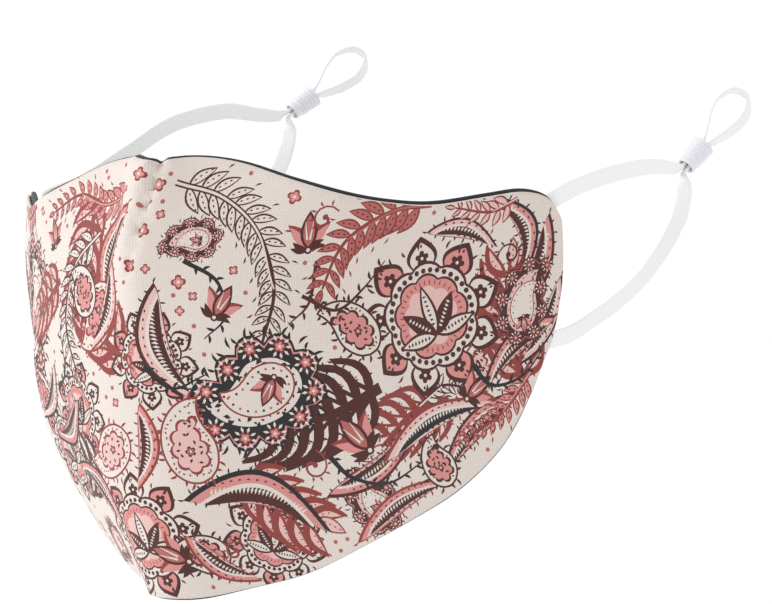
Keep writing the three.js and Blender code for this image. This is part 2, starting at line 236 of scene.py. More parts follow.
# a seam from its end on the lining to the edge, as shares across and up, and its lift
UPPER_SEAM = ((0.83, 0.88), (0.93, 0.99), 0.2)
LOWER_SEAM = ((0.78, 0.25), (0.95, 0), 1.2)
# the free runs from the cloth to the adjuster: along, up, width and twist
LEFT_UPPER = [
    (0.19, 0.02, 1, 0), (0.4, 0.03, 1, 0), (0.62, 0.03, 1, 5), (0.78, 0.02, 0.9, 15), (0.92, 0, 0.78, 25),
]
LEFT_LOWER = [
    (0.14, -0.06, 1, 0), (0.31, -0.11, 1, 0), (0.47, -0.15, 1, 5), (0.65, -0.18, 1, 10),
    (0.79, -0.18, 1, 20), (0.9, -0.16, 1, 35), (0.96, -0.13, 1, 55), (0.99, -0.07, 0.93, 70),
]
RIGHT_UPPER = [
    (0.15, 0.01, 1, 0), (0.33, 0.055, 1, 0), (0.51, 0.1, 1, 0),
    (0.73, 0.08, 1, 5), (0.86, 0.03, 0.9, 15), (0.95, 0, 0.78, 25),
]
RIGHT_LOWER = [
    (0.14, -0.07, 1, 0), (0.31, -0.13, 1, 0), (0.47, -0.18, 1, 5), (0.65, -0.22, 1, 10),
    (0.8, -0.22, 1, 20), (0.91, -0.18, 1, 35), (0.96, -0.14, 1, 55), (0.99, -0.07, 0.93, 70),
]
# side, sign, adjuster out/back/up, its axis, the way the loop opens, and its runs
SIDES = [
    ("left", 1, (0.04, 0.97, 0.142), (0.35, 0.62, 0.7), (-0.62, -0.36, 0.69), LEFT_UPPER, LEFT_LOWER),
    ("right", -1, (-0.428, 1, 0.34), (0.5, 0.7, 0.62), (-0.545, -0.315, 0.777), RIGHT_UPPER, RIGHT_LOWER),
]
# the pull loop, out of the adjuster and back: along, aside and twist
PULL_LOOP = [
    (0.16, 0.38, 0), (0.44, 0.9, 5), (0.69, 1.09, 10), (0.95, 0.62, 20), (1, -0.19, 35),
    (0.91, -0.62, 50), (0.73, -0.89, 60), (0.46, -0.79, 55), (0.21, -0.47, 35),
]


def seam_stops(seam, sign, direction):
    start, leaves, lift = seam
    depth = COVER_WALL + LINING_WALL + 2 * LAYER_GAP + (0.5 + lift) * STRAP_THICKNESS
    spots = [np.array(start) + (np.array(leaves) - start) * share for share in (0, 0.5, 1)]
    normals = [cloth_normal(sign * across, up) for across, up in spots]
    places = [cloth_point(sign * across, up) - depth * n for (across, up), n in zip(spots, normals)]
    outward = unit(places[2] - places[0])
    places.append(places[2] + PAST_EDGE * outward)
    normals.append(normals[2])
    ways = [unit(np.cross(n, outward)) * direction * sign for n in normals]
    return [(place, way, STRAP_WIDTH, STRAP_THICKNESS) for place, way in zip(places, ways)]


def run_stops(rows, start, end):
    stops = []
    for along, up, width, twist in rows:
        place = start + (end - start) * along + np.array((0, 0, up * STRAP_REACH))
        thick = GATHERED_THICKNESS + (STRAP_THICKNESS - GATHERED_THICKNESS) * (width - 0.5) * 2
        stops.append((place, twist, width * STRAP_WIDTH, thick))
    return stops


def strap_stops(side):
    """The strap's stops as place, width direction, width and thickness, and its adjuster's frame."""
    _, sign, seat, axis, spread, upper_run, lower_run = side
    upper, lower = seam_stops(UPPER_SEAM, sign, 1), seam_stops(LOWER_SEAM, sign, -1)
    centre = upper[-1][0] + np.array((seat[0] * sign, seat[1], seat[2])) * STRAP_REACH
    axis = unit(np.array(axis))
    spread = unit(np.array(spread) - axis * np.dot(axis, spread))
    wide = np.cross(axis, spread)
    beside = (GATHERED_THICKNESS + LAYER_GAP) / 2
    reach = ADJUSTER_LENGTH / 2
    # the band spreads out again as soon as it leaves the adjuster's mouth
    throat = [(-reach - THROAT, 0.8 * STRAP_WIDTH, STRAP_THICKNESS)]
    throat += [(distance, GATHERED_WIDTH, GATHERED_THICKNESS) for distance in (-reach, 0, reach)]
    loop = []
    for along, aside, twist in PULL_LOOP:
        place = centre + axis * (reach + along * PULL_LOOP_LENGTH) + spread * aside * PULL_LOOP_WIDTH / 2
        turn = math.radians(twist)
        loop.append((place, wide * math.cos(turn) + spread * math.sin(turn), *LOOP_BAND))
    mouth = centre - axis * reach
    stops = [
        *upper,
        *run_stops(upper_run, upper[-1][0], mouth),
        *[(centre + axis * d + spread * beside, wide, *size) for d, *size in throat],
        *loop,
        *[(centre + axis * d - spread * beside, wide, *size) for d, *size in throat[::-1]],
        *run_stops(lower_run, lower[-1][0], mouth)[::-1],
        *lower[::-1],
    ]
    plane = unit((mouth - upper[-1][0]) * (1, 1, 0))
    for i, (place, way, width, thick) in enumerate(stops):
        if np.ndim(way) == 0:
            travel = unit(stops[i + 1][0] - stops[i - 1][0])
            turn = math.radians(way)
            upright = plane * -travel[2] + np.array((0, 0, travel @ plane))
            way = upright * math.cos(turn) + np.array((math.sin(turn), 0, 0))
            stops[i] = (place, way, width, thick)
    return stops, centre + NOSE_SHIFT, axis


STEPS_PER_STOP = 12
ELASTIC_RIBS, RIDGE_HEIGHT = 6, 0.08  # fine ridges that run along the band


def band_outline():
    """A flat band's outline with softened edges and shallow ridges, as shares of its half sizes."""
    face = []
    for k in range(ELASTIC_RIBS * 4 + 1):
        share = 1 - 2 * k / (ELASTIC_RIBS * 4)
        ridge = RIDGE_HEIGHT * (1 - math.cos(share * ELASTIC_RIBS * math.pi)) / 2
        crown = (1 - abs(share) ** 6) ** 0.5
        face.append((share, (0.9 + ridge) * crown if abs(share) < 1 else 0))
    return face + [(-u, -v) for u, v in face[1:-1]]


def mesh_piece(name, corners, faces, uvs=None):
    """A mesh object from corners in millimetres. uvs gives each corner a place on the cloth."""
    mesh = bpy.data.meshes.new(name)
    mesh.from_pydata([tuple(c) for c in np.asarray(corners) * MM], [], faces)
    if uvs is not None:
        layer = mesh.uv_layers.new(name="cloth_mm")
        order = np.empty(len(mesh.loops), int)
        mesh.loops.foreach_get("vertex_index", order)
        layer.data.foreach_set("uv", np.asarray(uvs, np.float32)[order].ravel())
    mesh.validate()
    mesh.polygons.foreach_set("use_smooth", [True] * len(mesh.polygons))
    piece = bpy.data.objects.new(name, mesh)
    bpy.context.scene.collection.objects.link(piece)
    return piece


def walls_between(chain):
    """Four-sided faces between each closed ring of corner numbers and the next."""
    steps = [(a, b, k, (k + 1) % len(a)) for a, b in zip(chain, chain[1:]) for k in range(len(a))]
    return [(a[k], a[m], b[m], b[k]) for a, b, k, m in steps]


def band(name, stops):
    count = (len(stops) - 1) * STEPS_PER_STOP
    shares = np.linspace(0, 1, count + 1)
    route = through([s[0] for s in stops], shares)
    travel = np.gradient(route, axis=0)
    travel /= np.linalg.norm(travel, axis=1, keepdims=True)
    at = shares * (len(stops) - 1)
    i = np.minimum(at.astype(int), len(stops) - 2)
    t = at - i
    blend = (t * t * (3 - 2 * t))[:, None]
    ways, sizes = np.array([s[1] for s in stops]), np.array([s[2:] for s in stops])
    way, size = (rows[i] * (1 - blend) + rows[i + 1] * blend for rows in (ways, sizes))
    way -= travel * np.sum(way * travel, axis=1, keepdims=True)
    way /= np.linalg.norm(way, axis=1, keepdims=True)
    thick = np.cross(travel, way)
    outline = np.array(band_outline())
    rings = (
        route[:, None]
        + way[:, None] * (outline[:, 0][None, :, None] * size[:, :1, None] / 2)
        + thick[:, None] * (outline[:, 1][None, :, None] * size[:, 1:, None] / 2)
    )
    sides = len(outline)
    corners = rings.reshape(-1, 3) + NOSE_SHIFT
    chain = [[r * sides + k for k in range(sides)] for r in range(count + 1)]
    faces = [*walls_between(chain), chain[0][::-1], chain[-1]]
    run = run_along(route)
    uvs = np.stack([np.repeat(run, sides), np.tile(outline[:, 0] * STRAP_WIDTH / 2, count + 1)], axis=1)
    return mesh_piece(name, corners, faces, uvs), route + NOSE_SHIFT, run[-1]


# White polyester-covered elastic, warp knitted: fine lengthwise ridges crossed by rows of stitches,
# which give the band a soft matt shine. The hollows between the stitches are painted a shade darker: painted
# shade.
elastic, tree, shader = finish_named(
    "knitted_elastic", {"Roughness": 0.72, "Sheen Weight": 0.1, "Sheen Roughness": 0.5}
)
stitch_relief_and_shade = stitches(
    tree, {"Scale": 0.45, "Distortion": 0.6, "Detail": 1.0}, {"Scale": 0.36, "Distortion": 0.2}
)
# the darker of the two tones lies in the hollows between the stitches: painted shade
surfaced(tree, shader, stitch_relief_and_shade, ("#E5E5E4", "#EEEEED"), 0.05, 0.2 * MM)

adjuster_seats = {}
for side in SIDES:
    stops, seat, axis = strap_stops(side)
    adjuster_seats[side[0]] = (seat, axis)
    strap, route, length = band(side[0] + "_elastic", stops)
    strap.data.materials.append(elastic)
    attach(strap, "root")
    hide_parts(side[0] + "_ear_strap")
    print("strap length mm", side[0], round(length, 1))


# ---------------------------------------------------------------------------------------------
# Adjusters. Soft white silicone sleeves, moulded in one piece with ribs to grip, 9.5 mm long and
# a little wider at the pull loop's end. Both runs of the strap pass through the bore.
ADJUSTER_FRONT_RADIUS, ADJUSTER_RADIUS, ADJUSTER_COLLAR = 3.3, 3.9, 1.9
ADJUSTER_RIB_COUNT, RIB_DEPTH, RIM = 6, 0.45, 0.3
BORE = math.hypot(GATHERED_THICKNESS + LAYER_GAP / 2, GATHERED_WIDTH / 2) + LAYER_GAP


def adjuster_profile():
    """Radius and place along the sleeve, from its front rim over the ribs and back down the bore."""
    end = ADJUSTER_LENGTH / 2
    front, widening = ADJUSTER_FRONT_RADIUS, ADJUSTER_RADIUS - ADJUSTER_FRONT_RADIUS
    rows = [(BORE + RIM, -end), (front - 2 * RIM, -end), (front - RIM * 0.8, RIM - end)]
    pitch = (ADJUSTER_LENGTH - ADJUSTER_COLLAR) / ADJUSTER_RIB_COUNT
    for rib in range(ADJUSTER_RIB_COUNT):
        crest = front + widening * (rib + 1) / ADJUSTER_RIB_COUNT
        start = ADJUSTER_COLLAR - end + rib * pitch
        steps = ((RIB_DEPTH, 0), (RIB_DEPTH, 0.15), (0.1, 0.6), (0, 0.7), (0, 0.94))
        rows += [(crest - sunk, start + share * pitch) for sunk, share in steps]
    return rows + [(ADJUSTER_RADIUS - RIM, end), (BORE + RIM, end), (BORE, end - RIM), (BORE, RIM - end)]


silicone, tree, shader = finish_named(
    "moulded_silicone", {"Roughness": 0.45, "IOR": 1.41, "Specular IOR Level": 0.4}
)
place = node(tree, "ShaderNodeTexCoord")
grain = node(tree, "ShaderNodeTexNoise", {"Scale": 900.0, "Detail": 3.0}, {"Vector": place.outputs["Object"]})
surfaced(tree, shader, grain.outputs["Fac"], ("#D7D6DC", "#DFDEE3"), 0.05, 0.1 * MM)

for side_name, (seat, axis) in adjuster_seats.items():
    profile = adjuster_profile()
    bpy.ops.object.select_all(action="DESELECT")
    radius, start = profile[0]
    bpy.ops.mesh.primitive_circle_add(vertices=40, radius=radius * MM, location=(0, 0, start * MM))
    sleeve = bpy.context.object
    sleeve.name = side_name + "_sleeve"
    bpy.ops.object.transform_apply(location=True)
    bpy.ops.object.mode_set(mode="EDIT")
    bpy.ops.mesh.select_all(action="SELECT")
    for (r0, z0), (r1, z1) in zip(profile, profile[1:] + profile[:1]):
        bpy.ops.mesh.extrude_region_move(TRANSFORM_OT_translate={"value": (0, 0, (z1 - z0) * MM)})
        bpy.ops.transform.resize(value=(r1 / r0, r1 / r0, 1), center_override=(0, 0, z1 * MM))
    bpy.ops.mesh.select_all(action="SELECT")
    bpy.ops.mesh.remove_doubles(threshold=0.01 * MM)
    bpy.ops.mesh.normals_make_consistent(inside=False)
    bpy.ops.object.mode_set(mode="OBJECT")
    smooth = sleeve.modifiers.new("soft_edges", "SUBSURF")
    smooth.levels = smooth.render_levels = 2
    bpy.ops.object.modifier_apply(modifier=smooth.name)
    bpy.ops.object.shade_smooth()
    turn = Vector((0, 0, 1)).rotation_difference(Vector(axis)).to_matrix().to_4x4()
    sleeve.data.transform(Matrix.Translation(Vector(seat * MM)) @ turn)
    sleeve.data.materials.append(silicone)
    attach(sleeve, "root")
    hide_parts(side_name + "_adjuster")

# ---------------------------------------------------------------------------------------------
# Lining. Near-black knitted cloth under the cover, cut on the same form and turned at its edge, so
# that a thin dark line of it shows past the cover all round and the whole inside is dark.
FORM_COLUMNS, FORM_STEPS, ROW_STEP = 401, 61, 1.0
FLOW_OUT = 2.0  # how far the form runs on past its edges in its own direction
CORNER_SMOOTHINGS = 12
ribs = through(LEVELS, np.linspace(0, 1, FORM_COLUMNS)).transpose(1, 0, 2)
form = through(ribs, np.linspace(0, 1, FORM_STEPS))


def flowed_out(edge, beside):
    away = edge - beside
    return edge + away / np.linalg.norm(away, axis=2, keepdims=True) * FLOW_OUT


below, above = flowed_out(form[:, :1], form[:, 1:2]), flowed_out(form[:, -1:], form[:, -2:-1])
far_below, far_above = below - (0, 0, HEIGHT), above + (0, 0, HEIGHT / 4)
columns = np.concatenate([far_below, below, form, above, far_above], axis=1) + NOSE_SHIFT
levels_up = np.arange(-HEIGHT - 8, 14, ROW_STEP)
form_x = np.array([np.interp(levels_up, column[:, 2], column[:, 0]) for column in columns]).T
form_y = np.array([np.interp(levels_up, column[:, 2], column[:, 1]) for column in columns]).T
spans = np.hypot(np.diff(form_x, axis=1), np.diff(form_y, axis=1))
form_arc = np.concatenate([np.zeros((len(levels_up), 1)), np.cumsum(spans, axis=1)], axis=1)
form_arc -= form_arc[:, FORM_COLUMNS // 2 : FORM_COLUMNS // 2 + 1]


def on_form(flat):
    """The places on the form's outer face of flat places: along from the centre line, and up."""
    along, up = flat[:, 0], flat[:, 1]
    at = np.clip((up - levels_up[0]) / ROW_STEP, 0, len(levels_up) - 1.001)
    low, t = at.astype(int), at % 1
    places = np.empty((len(flat), 3))
    places[:, 2] = up
    for row in np.unique(low):
        here = low == row
        for axis, table in ((0, form_x), (1, form_y)):
            a = np.interp(along[here], form_arc[row], table[row])
            b = np.interp(along[here], form_arc[row + 1], table[row + 1])
            places[here, axis] = a + (b - a) * t[here]
    return places


def form_normals(flat):
    step = 0.8
    sideways = on_form(flat + (step, 0)) - on_form(flat - (step, 0))
    upward = on_form(flat + (0, step)) - on_form(flat - (0, step))
    normals = np.cross(sideways, upward)
    return normals / np.linalg.norm(normals, axis=1, keepdims=True)


DART_LENGTH, DART_DEPTH = 35, 2.6
DART_ASIDE, DART_LEAN = 2.4, 5  # it starts to the wearer's left and runs out to the wearer's right
# soft dents and swells in the worn cloth: along, up, reach each way, height in millimetres
SWELLS = [
    (-6, -5, 5.5, 12, 2.6), (6, -8, 4, 12, 0.6), (-6, -24, 4.5, 12, 1.0), (5, -30, 4, 14, -0.4),
    (30, -52, 22, 16, 0.7), (58, -30, 9, 22, -0.8), (72, -60, 12, 18, 0.6), (88, -38, 8, 20, -0.7),
    (44, -88, 20, 8, -0.6), (20, -104, 14, 8, 0.5), (106, -44, 6, 20, 0.5), (-40, -50, 18, 18, 0.7),
    (-66, -34, 10, 22, -0.7), (-86, -48, 9, 18, 0.5), (-36, -92, 18, 8, -0.6), (-104, -40, 6, 16, 0.5),
    (64, -84, 14, 5, 0.5), (80, -70, 10, 4, -0.5), (-70, -78, 14, 5, 0.5), (2, -70, 7, 30, 0.4),
    (50, -12, 18, 5, 0.5),
]


def swell(flat):
    """How far the worn cloth stands out from the form: its dents, and the dart under the nose bridge."""
    along, up = flat[:, 0], flat[:, 1]
    out = np.zeros(len(flat))
    for x, y, wide, tall, height in SWELLS:
        out += height * np.exp(-(((along - x) / wide) ** 2 + ((up - y) / tall) ** 2))
    fade = np.clip(1 + up / DART_LENGTH, 0, 1)
    seam = along - DART_ASIDE + DART_LEAN * (1 - fade)
    near_lip, far_lip = 0.4 * np.exp(-(((seam - 2.6) / 1.3) ** 2)), 0.9 * np.exp(-(((seam + 2.8) / 1.8) ** 2))
    return out - DART_DEPTH * np.exp(-(seam**2)) * fade**0.3 + (near_lip + far_lip) * fade


def signed_area(outline):
    """Twice the area in a closed outline, above zero where it runs anticlockwise."""
    after = np.roll(outline, -1, axis=0)
    return (outline[:, 0] * after[:, 1] - outline[:, 1] * after[:, 0]).sum()


def outwards(outline):
    """The way out of a closed outline at each of its points."""
    travel = np.roll(outline, -1, axis=0) - np.roll(outline, 1, axis=0)
    normal = np.stack([travel[:, 1], -travel[:, 0]], axis=1) * (1 if signed_area(outline) > 0 else -1)
    return normal / np.maximum(1e-9, np.linalg.norm(normal, axis=1, keepdims=True))


def spread(outline, count=None, spacing=None):
    """Even places round a closed outline, by their count or by the space between them."""
    ring = np.concatenate([outline, outline[:1]])
    run = run_along(ring)
    even = np.linspace(0, run[-1], count or int(run[-1] / spacing), endpoint=False)
    return np.stack([np.interp(even, run, ring[:, k]) for k in (0, 1)], axis=1)


def cloth_outline(inset, spacing):
    """The cloth's flat outline, drawn in by inset and laid out at an even spacing, anticlockwise."""
    last = FORM_COLUMNS - 1
    walk = [(i, FORM_STEPS - 1) for i in range(last, -1, -1)] + [(0, j) for j in range(FORM_STEPS - 2, 0, -1)]
    walk += [(i, 0) for i in range(FORM_COLUMNS)] + [(last, j) for j in range(1, FORM_STEPS - 1)]
    heights = [(i, form[i, j, 2]) for i, j in walk]
    edge = np.array([(np.interp(up, levels_up, form_arc[:, i]), up) for i, up in heights])
    for _ in range(CORNER_SMOOTHINGS):
        edge = (np.roll(edge, 1, axis=0) + 2 * edge + np.roll(edge, -1, axis=0)) / 4
    edge = spread(edge, spacing=spacing)
    return edge - outwards(edge) * inset


def inside(outline, places):
    """Which places lie in a closed outline, counting its turns round them."""
    a, b = outline, np.roll(outline, -1, axis=0)
    x, y = places[:, 0][:, None], places[:, 1][:, None]
    side = (b[:, 0] - a[:, 0]) * (y - a[:, 1]) - (x - a[:, 0]) * (b[:, 1] - a[:, 1])
    rising, falling = (a[:, 1] <= y) & (b[:, 1] > y), (a[:, 1] > y) & (b[:, 1] <= y)
    return (rising & (side > 0)).sum(1) > (falling & (side < 0)).sum(1)


def lattice(outline, pitch, margin):
    """Evenly scattered points in an outline, in a triangular net."""
    low, high = outline.min(0), outline.max(0)
    rows, columns = np.arange(low[1], high[1], pitch * 0.866), np.arange(low[0], high[0], pitch)
    places = np.array([(x + (pitch / 2 if k % 2 else 0), y) for k, y in enumerate(rows) for x in columns])
    places = places[inside(outline, places)]
    gap = np.array([np.min(np.hypot(*(outline - p).T)) for p in places])
    return places[gap > margin]


def flat_net(loops, loose):
    """Triangles over flat loops, whose lines all become edges, and over loose points."""
    points = np.concatenate([*loops, loose])
    edges, start = [], 0
    for loop in loops:
        edges += [(start + k, start + (k + 1) % len(loop)) for k in range(len(loop))]
        start += len(loop)
    places, _, faces, _, _, _ = delaunay_2d_cdt([Vector(p) for p in points], edges, [], 0, 1e-4, False)
    places, faces = np.array([tuple(p) for p in places]), np.array(faces)
    return places, faces, places[faces].mean(axis=1)


def rim_loop(faces):
    """The outer edge of a net of triangles, as corner numbers in order."""
    directed = {(f[k], f[(k + 1) % 3]) for f in faces.tolist() for k in range(3)}
    after = {a: b for a, b in directed if (b, a) not in directed}
    first = min(after)
    loop, at = [first], after[first]
    while at != first:
        loop.append(at)
        at = after[at]
    return loop


def cloth_piece(name, flat, faces, depth, wall, rolled):
    """A layer of cloth: its outer face from a net of triangles, a rolled edge and a plainer inner face."""
    loop = rim_loop(faces)
    edge = flat[loop]
    inner_flat, inner_faces, middles = flat_net([edge], lattice(edge, 3.2, 1.5))
    inner_faces = inner_faces[inside(edge, middles)]
    outward = outwards(edge)

    def at_depth(places, deep):
        return on_form(places) + form_normals(places) * (swell(places) - deep)[:, None]

    bulges = [(share, outward * rolled * math.sin(math.pi * share)) for share in (0.25, 0.5, 0.75)]
    rings = [at_depth(edge + bulge, depth + wall * share) for share, bulge in bulges]
    corners = np.concatenate([at_depth(flat, depth), *rings, at_depth(inner_flat, depth + wall)])
    uvs = np.concatenate([flat, edge, edge, edge, inner_flat])
    count, n = len(loop), len(flat)
    inner_start = n + 3 * count
    # the net keeps the loop's points in place, so the inner edge's corners are found by their place
    found = {tuple(np.round(p, 3)): k for k, p in enumerate(inner_flat)}
    inner_loop = [inner_start + found[tuple(np.round(p, 3))] for p in edge]
    chain = [loop, *[[n + r * count + k for k in range(count)] for r in range(3)], inner_loop]
    sides = [face[::-1] for face in walls_between(chain)]
    all_faces = faces.tolist() + sides + (inner_faces[:, ::-1] + inner_start).tolist()
    return mesh_piece(name, corners, all_faces, uvs)


edge = cloth_outline(0, 1.2)
net, triangles, middles = flat_net([edge], lattice(edge, 2.4, 1.2))
triangles = triangles[inside(edge, middles)]
lining = cloth_piece("lining_cloth", net, triangles, COVER_WALL + LAYER_GAP, LINING_WALL, 0.25)


# Polyester jersey, dyed near-black: columns of stitches drawn a little coarser than the real ones so
# that they show, with the dull bloom of brushed yarn. The hollows between the stitches are painted darker:
# painted shade.
jersey, tree, shader = finish_named(
    "black_jersey", {"Roughness": 0.92, "Sheen Weight": 0.15, "Sheen Roughness": 0.6}
)
knit_relief_and_shade = stitches(
    tree, {"Scale": 0.35, "Distortion": 0.8, "Detail": 1.0}, {"Scale": 0.42, "Distortion": 0.8, "Detail": 1.0}
)
# the darker tone lies in the hollows between the stitches: painted shade
surfaced(tree, shader, knit_relief_and_shade, ("#151418", "#29272B"), 0.6, 0.3 * MM)
lining.data.materials.append(jersey)
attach(lining, "root")
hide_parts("lining")


# ---------------------------------------------------------------------------------------------
# Printed cover. Cream polyester knit, heat-printed with paisleys, a lotus, sprays and small flowers,
# cut in two halves, shaped by a dart under the nose bridge and turned at its edge over the lining.
INKS = {
    "ground": "#D2C8C0", "blush": "#D4AEA8", "salmon": "#C88480", "rose": "#A85D58",
    "brick": "#853732", "maroon": "#461E1A", "black": "#221D20",
}
printed = []  # ink and flat outline, in the order of printing


def ink(name, outline):
    printed.append((name, outline[::-1] if signed_area(outline) < 0 else outline))


def placed(points, place, angle, size=1.0, flip=1):
    turn = math.radians(angle)
    points = np.asarray(points, float) * (size, size * flip)
    return points @ np.array([[math.cos(turn), math.sin(turn)], [-math.sin(turn), math.cos(turn)]]) + place


def spot_at(place, angle, along, aside=0.0, flip=1):
    return placed([(along, aside)], place, angle, 1, flip)[0]


def bearing(way):
    return math.degrees(math.atan2(way[1], way[0]))


def round_points(count):
    turn = np.linspace(0, 2 * np.pi, count, endpoint=False)
    return np.stack([np.cos(turn), np.sin(turn)], axis=1)


def grown(outline, by):
    return outline + outwards(outline) * by


def scalloped(outline, count, depth):
    outline = spread(outline, count * 6)
    wave = np.abs(np.sin(np.pi * count * np.arange(len(outline)) / len(outline)))
    return grown(outline, (depth * wave**0.8)[:, None])


def dot(name, place, radius, sides=8):
    ink(name, round_points(sides) * radius + place)


def stroke(name, route, width, ends=(1, 0.2)):
    """A brush line through the points, of a width that changes from one end to the other."""
    route = np.asarray(route, float)
    count = max(4, int(run_along(route)[-1] / 1.1))
    shares = np.linspace(0, 1, count)
    line = through(route, shares)
    travel = np.gradient(line, axis=0)
    aside = np.stack([-travel[:, 1], travel[:, 0]], axis=1) / np.linalg.norm(travel, axis=1, keepdims=True)
    half_width = (width / 2 * (ends[0] + (ends[1] - ends[0]) * shares))[:, None]
    ink(name, np.concatenate([line + aside * half_width, (line - aside * half_width)[::-1]]))


def leaf_shape(length, width, bend=0.0, points=8):
    along = np.linspace(0, 1, points)
    swell_out = width / 2 * np.sin(np.pi * along**0.85) ** 0.9
    arch = bend * length * np.sin(np.pi * along)
    upper = np.stack([along * length, arch + swell_out], axis=1)
    lower = np.stack([along * length, arch - swell_out], axis=1)
    return np.concatenate([lower, upper[-2:0:-1]])


def blade(name, place, angle, length, width, bend=0.0, points=8, start=0.0):
    """A leaf shape in one ink, which may start a little way along."""
    ink(name, placed(leaf_shape(length, width, bend, points) + (start, 0), place, angle))


def seed(name, place, angle, length, width=None):
    blade(name, place, angle, length, width or length * 0.56, 0.08, 3)


def leaf(place, angle, length, width, edge="brick", fill="salmon", vein="maroon", bend=0.0):
    """A leaf with an outline, a paler field and a row of stitches for its vein."""
    blade(edge, place, angle, length, width, bend)
    blade(fill, place, angle, length * 0.84, width - 1.0, bend, 7, length * 0.08)
    if vein:
        for share in np.arange(0.22, 0.78, 1.7 / length):
            spot = spot_at(place, angle, length * share, bend * length * math.sin(math.pi * share))
            seed(vein, spot, angle, 1.0, 0.55)


def drop_shape(length, width, bend):
    """A paisley drop: a round foot, then a body that narrows to a tip curling over."""
    count, foot_share = 46, 0.34
    along = np.linspace(0, 1, count)
    heading = np.radians(90 + bend * along**1.8)
    spine = np.cumsum(np.stack([np.cos(heading), np.sin(heading)], axis=1), axis=0) * length / count
    aside = np.stack([-np.sin(heading), np.cos(heading)], axis=1)
    foot = np.sqrt(np.clip(1 - ((along - foot_share) / foot_share) ** 2, 0, 1))
    body = np.cos(np.clip((along - foot_share) / (1 - foot_share), 0, 1) * np.pi / 2) ** 0.85
    half_width = (width / 2 * np.where(along < foot_share, foot, body))[:, None]
    outline = np.concatenate([spine + aside * half_width, (spine - aside * half_width)[-2:0:-1]])
    return outline - spine[int(foot_share * count) + 1]


def flower(place, radius, angle=0.0, petals=4, edge="brick", fill="salmon", eye="ground"):
    turn = np.linspace(0, 2 * np.pi, petals * 4, endpoint=False)
    reach = 0.62 + 0.38 * np.abs(np.cos(petals * turn / 2)) ** 0.7
    shape = round_points(petals * 4) * reach[:, None]
    ink(edge, placed(shape, place, angle, radius))
    ink(fill, placed(shape[:: 1 if radius > 1.4 else 2], place, angle, radius * 0.68))
    dot(eye, place, radius * 0.24, 5)


def barbs(name, outline, count, length, width, lean=14):
    """Short flames that stand out from an outline."""
    outline = spread(outline, count)
    for k, (place, way) in enumerate(zip(outline, outwards(outline))):
        heading = bearing(way) + (lean if k % 2 else -lean)
        blade(name, place - way * 0.4, heading, length * (1, 0.7)[k % 2], width, 0.12, 4)


def paisley(place, angle, length, width, bend, flip, band, field, count=12, bloom="salmon"):
    """A large paisley: a dark scalloped band with a flower in each lobe, a vine, and a bud in its heart."""
    body = placed(drop_shape(length, width, bend), place, angle, 1, flip)
    thin = width / 30
    barbs(band, grown(body, 2.6 * thin), count * 4, 4.4 * thin, 1.0 * thin, 20)
    for name, draw in ((band, 0), (bloom, 1.1), (band, 1.8)):
        ink(name, scalloped(grown(body, -draw * thin), count, 3.6 * thin))
    lobes = spread(body, count * 2)[1::2]
    for spot, way in zip(lobes, outwards(lobes)):
        spot = spot - way * 0.9 * thin
        heading = bearing(way)
        for lean in heading + 40 * np.arange(9):
            blade("ground", spot_at(spot, lean, 1.9 * thin), lean, 2.2 * thin, 1.0 * thin, 0, 3)
        flower(spot, 2.3 * thin, heading, 5, "brick", bloom, "ground")
    ink(field, grown(body, -4.9 * thin))
    for k, spot in enumerate(spread(grown(body, -6.3 * thin), count * 4)):
        seed(("maroon", band)[k % 2], spot, 75 * k, (1.6, 2.7)[k % 2] * thin)
    inner = placed(drop_shape(length * 0.6, width * 0.54, bend), place, angle, 1, flip)
    ink("brick", inner)
    ink("ground", grown(inner, -0.6 * thin))
    for k, spot in enumerate(spread(grown(inner, -2.1 * thin), count * 2)):
        dot(("rose", "maroon")[k % 2], spot, 0.5 * thin, 5)
    tulip(spot_at(place, angle, 0, -4.4 * thin, flip), angle + 8 * flip, 0.72 * thin)


def open_paisley(place, angle, length, width, bend, flip=1, edge="brick", heart="blush"):
    """A pale paisley drawn in line: thorns outside, two rows of stitches and a seeded heart."""
    body = placed(drop_shape(length, width, bend), place, angle, 1, flip)
    barbs(edge, body, int(length * 0.9), 2.6, 0.8, 24)
    ink(edge, body)
    ink("ground", grown(body, -0.6))
    for k, spot in enumerate(spread(grown(body, -2.0), int(length * 1.3))):
        seed(edge, spot, 40 * k, 1.1, 0.6)
    inner = placed(drop_shape(length * 0.6, width * 0.56, bend), place, angle, 1, flip)
    ink(edge, scalloped(inner, 9, 1.2))
    ink(heart, scalloped(grown(inner, -0.6), 9, 1.0))
    for k, spot in enumerate(spread(grown(inner, -1.9), 13)):
        seed("maroon", spot, 65 * k, 1.5, 0.8)
    flower(np.asarray(place), width * 0.1, angle, 5, "maroon", "rose")


def tulip(place, angle, size=1.0):
    """A three-petalled bud over a calyx, with stamens."""
    up = angle + 90
    petals = [(side * 38, 13, 5, side * -0.08, "brick", "salmon") for side in (-1, 1)]
    for lean, long, wide, bend, edge, fill in (*petals, (0, 15, 6.5, 0, "maroon", "rose")):
        blade(edge, place, up + lean, long * size, wide * size, bend)
        blade(fill, place, up + lean, long * size * 0.82, wide * size * 0.68, 0, 7, long * size * 0.08)
    for lean in (-8, 8):
        stroke("ground", placed([(0, 4 * size), (0, 11 * size)], place, angle + lean), 0.8 * size)
    for lean in (-80, -60, 60, 80):
        blade("maroon", place, up + lean, 7 * size, 2.4 * size, 0.1, 6)
    dot("maroon", place, 1.6 * size)
    dot("ground", place, 0.8 * size, 6)


